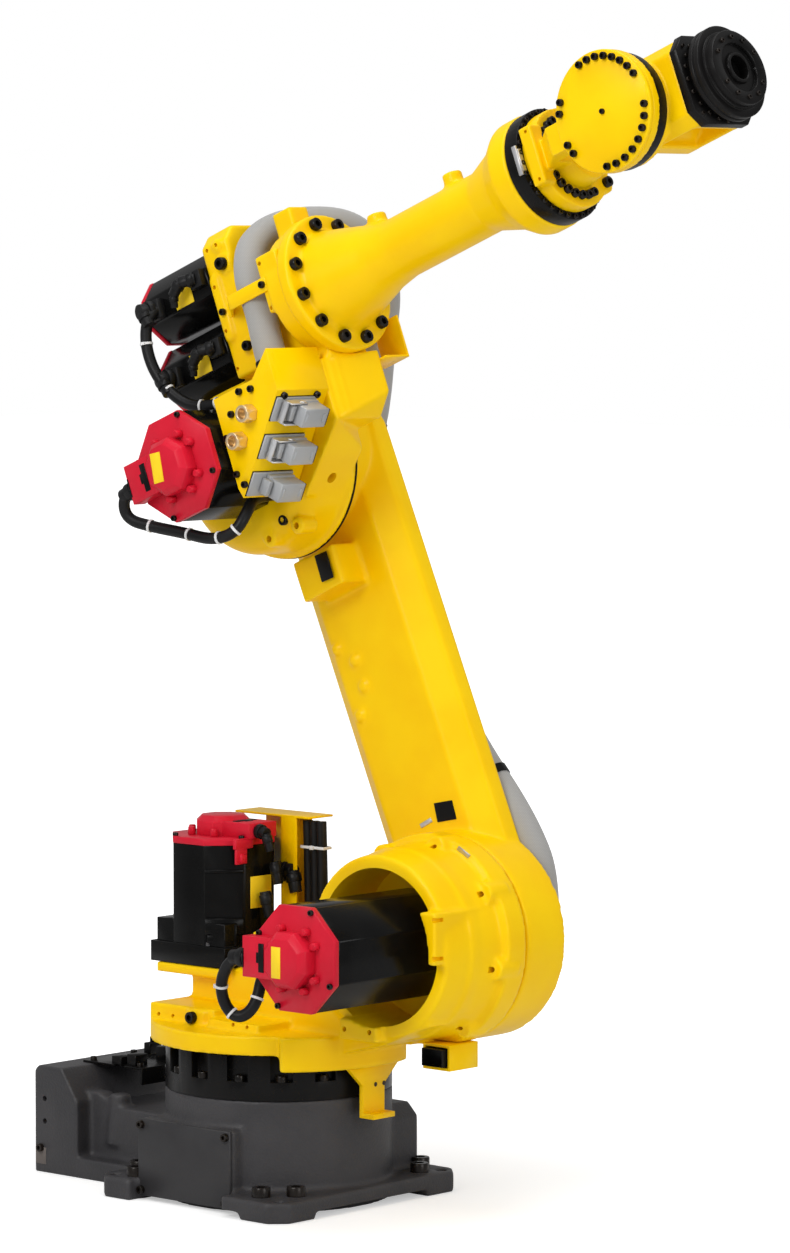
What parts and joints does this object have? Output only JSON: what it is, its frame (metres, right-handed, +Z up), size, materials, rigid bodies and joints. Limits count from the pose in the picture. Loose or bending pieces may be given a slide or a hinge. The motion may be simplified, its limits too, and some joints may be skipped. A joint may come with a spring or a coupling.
{
  "type": "industrial robot arm",
  "caption": "Floor-mounted six-axis articulated robot arm with open motor drum, leaning lower arm, offset elbow, tube forearm and bending wrist with a tool flange.",
  "frame": {"origin": "first axis at floor level, on the base's underside", "axes": "+Z up along the first axis, +X the way the arm reaches, +Y to its left"},
  "size_m": [1.4922, 0.5747, 1.9796],
  "materials": {
    "grey_casting": "painted casting, satin",
    "grey_paint": "satin",
    "black_steel": "satin black",
    "yellow_casting": "gloss paint",
    "yellow_sheet": "gloss paint",
    "motor_black": "semi-gloss",
    "motor_red": "satin",
    "cable_black": "matt",
    "sleeve_grey": "woven, matt",
    "connector_grey": "die cast, matt",
    "brass_fitting": "machined"
  },
  "bodies": {
    "base": {"base_casting": "grey_casting", "side_cover": "grey_paint", "cable_bracket": "black_steel", "j1_ring": "black_steel"},
    "turret": {"turret_casting": "yellow_casting", "stop_bracket": "yellow_sheet", "fork_pocket": "yellow_sheet", "wiring_cover": "yellow_sheet", "j1_motor_body": "motor_black", "j1_motor_cap": "motor_red", "j1_encoder_cover": "motor_red", "j2_motor_body": "motor_black", "j2_motor_cap": "motor_red", "j2_encoder_cover": "motor_red", "turret_cable": "cable_black", "j2_motor_cable": "cable_black"},
    "elbow": {"j3_motor_body": "motor_black", "j3_motor_cap": "motor_red", "j3_encoder_cover": "motor_red", "elbow_casting": "yellow_casting", "forearm": "yellow_casting", "connector_box": "yellow_sheet", "hose_strap": "yellow_sheet", "far_bracket": "yellow_sheet", "j4_motor_body": "motor_black", "j4_motor_cap": "motor_red", "j5_motor_body": "motor_black", "j5_motor_cap": "motor_red", "connector_upper": "connector_grey", "connector_middle": "connector_grey", "connector_lower": "connector_grey", "air_fitting_upper": "brass_fitting", "air_fitting_lower": "brass_fitting", "elbow_sleeve": "sleeve_grey", "j3_motor_cable": "cable_black", "j4_motor_cable": "cable_black", "j4_ring": "black_steel"},
    "lower_arm": {"lower_arm_casting": "yellow_casting", "arm_sleeve": "sleeve_grey"},
    "wrist": {"wrist_casting": "yellow_casting", "j5_cover": "yellow_casting", "j5_ring": "black_steel"},
    "hand": {"hand_casting": "yellow_casting", "hand_plate": "black_steel"},
    "tool_flange": {"tool_flange": "black_steel"}
  },
  "joints": [
    {"name": "j1_turn", "type": "hinge", "parent": "base", "child": "turret", "pos_m": [0, 0, 0.266], "axis": [0, 0, 1], "range_deg": [-180, 180]},
    {"name": "j2_swing", "type": "hinge", "parent": "turret", "child": "lower_arm", "pos_m": [0.32, 0, 0.465], "axis": [0, 1, 0], "range_deg": [-66, 130]},
    {"name": "j3_lift", "type": "hinge", "parent": "lower_arm", "child": "elbow", "pos_m": [-0.02969, 0, 1.26163], "axis": [0, -1, 0], "range_deg": [-75, 185]},
    {"name": "j4_roll", "type": "hinge", "parent": "elbow", "child": "wrist", "pos_m": [0.6313, 0, 1.76533], "axis": [0.9298, 0, 0.3681], "range_deg": [-360, 360]},
    {"name": "j5_bend", "type": "hinge", "parent": "wrist", "child": "hand", "pos_m": [0.8312, 0, 1.84447], "axis": [0, -1, 0], "range_deg": [-125, 125]},
    {"name": "j6_roll", "type": "hinge", "parent": "hand", "child": "tool_flange", "pos_m": [0.95579, 0, 1.8938], "axis": [0.9298, 0, 0.3681], "range_deg": [-360, 360]}
  ]
}
